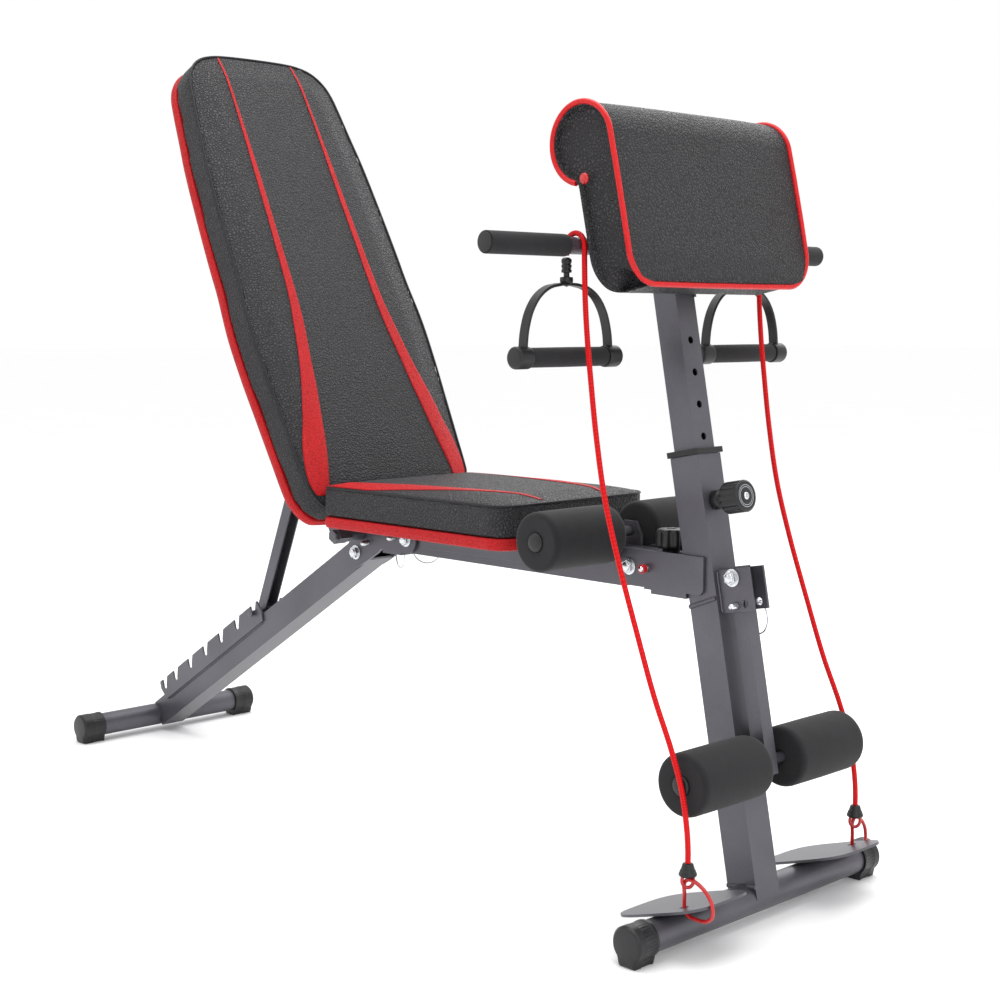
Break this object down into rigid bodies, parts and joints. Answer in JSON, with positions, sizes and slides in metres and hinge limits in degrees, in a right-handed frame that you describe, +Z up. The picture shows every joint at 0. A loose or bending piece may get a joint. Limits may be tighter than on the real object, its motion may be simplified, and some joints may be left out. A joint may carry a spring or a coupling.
{
  "type": "decline sit up bench",
  "caption": "Folding exercise bench with a tilting backrest on a toothed rear leg, leg rollers, a height-adjustable preacher pad with a handle bar, and elastic pull ropes.",
  "frame": {"origin": "centre of the footprint box on the floor", "axes": "+X towards the front post, +Y to the left of a person who sits on the seat and faces the post, +Z up"},
  "size_m": [1.3004, 0.566, 1.0497],
  "materials": {
    "powder_coat": "satin gunmetal powder coat",
    "zinc_plate": "bright zinc plate",
    "black_plastic": "moulded, satin",
    "foam_rubber": "closed-cell foam, matte",
    "grained_leather": "pebbled synthetic leather over foam",
    "red_vinyl_board": "plywood wrapped in red vinyl",
    "elastic_rope": "braided red sleeve"
  },
  "bodies": {
    "beam_frame": {"main_beam": "powder_coat", "rear_bracket": "powder_coat", "beam_bolt": "zinc_plate", "leg_pivot_bolt": "zinc_plate", "seat_rail_right": "powder_coat", "seat_rail_left": "powder_coat", "seat_board": "red_vinyl_board", "seat_pad": "grained_leather", "upper_axle_saddle": "powder_coat", "upper_axle": "powder_coat"},
    "front_post": {"front_post": "powder_coat", "post_collar": "black_plastic", "front_foot_tube": "powder_coat", "front_foot_cap_right": "black_plastic", "front_foot_cap_left": "black_plastic", "foot_pedal_right": "powder_coat", "foot_pedal_left": "powder_coat", "front_bracket": "powder_coat", "front_pivot_bolt": "zinc_plate", "arm_bracket": "powder_coat", "arm_pivot_bolt": "zinc_plate", "rope_right": "elastic_rope", "rope_left": "elastic_rope", "rope_stop_right": "black_plastic", "rope_stop_left": "black_plastic", "snap_hook_right": "elastic_rope", "snap_hook_left": "elastic_rope"},
    "front_lock_pin": {"front_lock_pin": "zinc_plate"},
    "preacher": {"preacher_post": "powder_coat", "preacher_pad": "grained_leather", "handle_bar": "powder_coat", "bar_grip_right": "foam_rubber", "bar_grip_left": "foam_rubber"},
    "d_handle_right": {"d_handle_yoke_right": "black_plastic", "d_handle_grip_right": "foam_rubber"},
    "d_handle_left": {"d_handle_yoke_left": "black_plastic", "d_handle_grip_left": "foam_rubber"},
    "lock_knob": {"lock_knob": "black_plastic"},
    "leg_arm": {"leg_arm": "powder_coat", "lower_axle": "powder_coat"},
    "arm_lock_pin": {"arm_lock_pin": "zinc_plate"},
    "lower_roller_right": {"lower_roller_right": "foam_rubber"},
    "lower_roller_left": {"lower_roller_left": "foam_rubber"},
    "upper_roller_right": {"upper_roller_right": "foam_rubber"},
    "upper_roller_left": {"upper_roller_left": "foam_rubber"},
    "clamp_knob": {"clamp_knob": "black_plastic"},
    "backrest": {"backrest_pad": "grained_leather", "backrest_board": "red_vinyl_board", "backrest_frame": "powder_coat", "strut_pivot_bolt": "zinc_plate"},
    "prop_strut": {"prop_strut": "powder_coat"},
    "rear_leg": {"rear_leg": "powder_coat", "ladder_plate_right": "powder_coat", "ladder_plate_left": "powder_coat", "rear_foot_tube": "powder_coat", "rear_foot_cap_right": "black_plastic", "rear_foot_cap_left": "black_plastic"},
    "leg_lock_pin": {"leg_lock_pin": "zinc_plate"},
    "beam_lock_pin": {"beam_lock_pin": "zinc_plate"}
  },
  "joints": [
    {"name": "front_post_fold", "type": "hinge", "parent": "beam_frame", "child": "front_post", "pos_m": [0.41915, 0, 0.381], "axis": [0, -1, 0], "range_deg": [-100, 0]},
    {"name": "rear_leg_fold", "type": "hinge", "parent": "beam_frame", "child": "rear_leg", "pos_m": [-0.08985, 0, 0.347], "axis": [0, -1, 0], "range_deg": [0, 120]},
    {"name": "backrest_tilt", "type": "hinge", "parent": "beam_frame", "child": "backrest", "pos_m": [-0.07609, 0, 0.37493], "axis": [0, -1, 0], "range_deg": [0, 69.08]},
    {"name": "strut_swing", "type": "hinge", "parent": "backrest", "child": "prop_strut", "pos_m": [-0.18528, 0, 0.58775], "axis": [0, -1, 0], "range_deg": [-91.9, 0]},
    {"name": "preacher_height", "type": "slide", "parent": "front_post", "child": "preacher", "axis": [-0.1848, 0, 0.9828], "range_m": [-0.1456, 0.0728], "deforming": ["rope_right", "rope_left"]},
    {"name": "lock_knob_pull", "type": "slide", "parent": "front_post", "child": "lock_knob", "axis": [0.9828, 0, 0.1848], "range_m": [0, 0.012], "stiffness_N_per_m": 900, "springref_m": -0.002},
    {"name": "leg_arm_swing", "type": "hinge", "parent": "front_post", "child": "leg_arm", "pos_m": [0.56273, 0, 0.38193], "axis": [0, -1, 0], "range_deg": [0, 80]},
    {"name": "lower_roller_spin_right", "type": "hinge", "parent": "leg_arm", "child": "lower_roller_right", "pos_m": [0.6002, -0.083, 0.17998], "axis": [0, -1, 0], "continuous": true},
    {"name": "lower_roller_spin_left", "type": "hinge", "parent": "leg_arm", "child": "lower_roller_left", "pos_m": [0.6002, 0.083, 0.17998], "axis": [0, -1, 0], "continuous": true},
    {"name": "upper_roller_spin_right", "type": "hinge", "parent": "beam_frame", "child": "upper_roller_right", "pos_m": [0.38415, -0.083, 0.416], "axis": [0, -1, 0], "continuous": true},
    {"name": "upper_roller_spin_left", "type": "hinge", "parent": "beam_frame", "child": "upper_roller_left", "pos_m": [0.38415, 0.083, 0.416], "axis": [0, -1, 0], "continuous": true},
    {"name": "clamp_knob_turn", "type": "hinge", "parent": "beam_frame", "child": "clamp_knob", "pos_m": [0.46215, 0, 0.415], "axis": [0, 0, 1], "continuous": true},
    {"name": "front_lock_pin_pull", "type": "slide", "parent": "front_post", "child": "front_lock_pin", "axis": [0, 1, 0], "range_m": [0, 0.065]},
    {"name": "arm_lock_pin_pull", "type": "slide", "parent": "front_post", "child": "arm_lock_pin", "axis": [0, 1, 0], "range_m": [0, 0.045]},
    {"name": "leg_lock_pin_pull", "type": "slide", "parent": "beam_frame", "child": "leg_lock_pin", "axis": [0, 1, 0], "range_m": [0, 0.065]},
    {"name": "beam_lock_pin_pull", "type": "slide", "parent": "beam_frame", "child": "beam_lock_pin", "axis": [0, 1, 0], "range_m": [0, 0.065]},
    {"name": "d_handle_swing_right", "type": "hinge", "parent": "preacher", "child": "d_handle_right", "pos_m": [0.43985, -0.15, 0.7334], "axis": [0, -1, 0], "range_deg": [-30, 8]},
    {"name": "d_handle_swing_left", "type": "hinge", "parent": "preacher", "child": "d_handle_left", "pos_m": [0.43985, 0.15, 0.7334], "axis": [0, -1, 0], "range_deg": [-30, 8]}
  ],
  "couplings": [
    {"joint": "strut_swing", "follows": "backrest_tilt", "ratio": -1.3231}
  ]
}
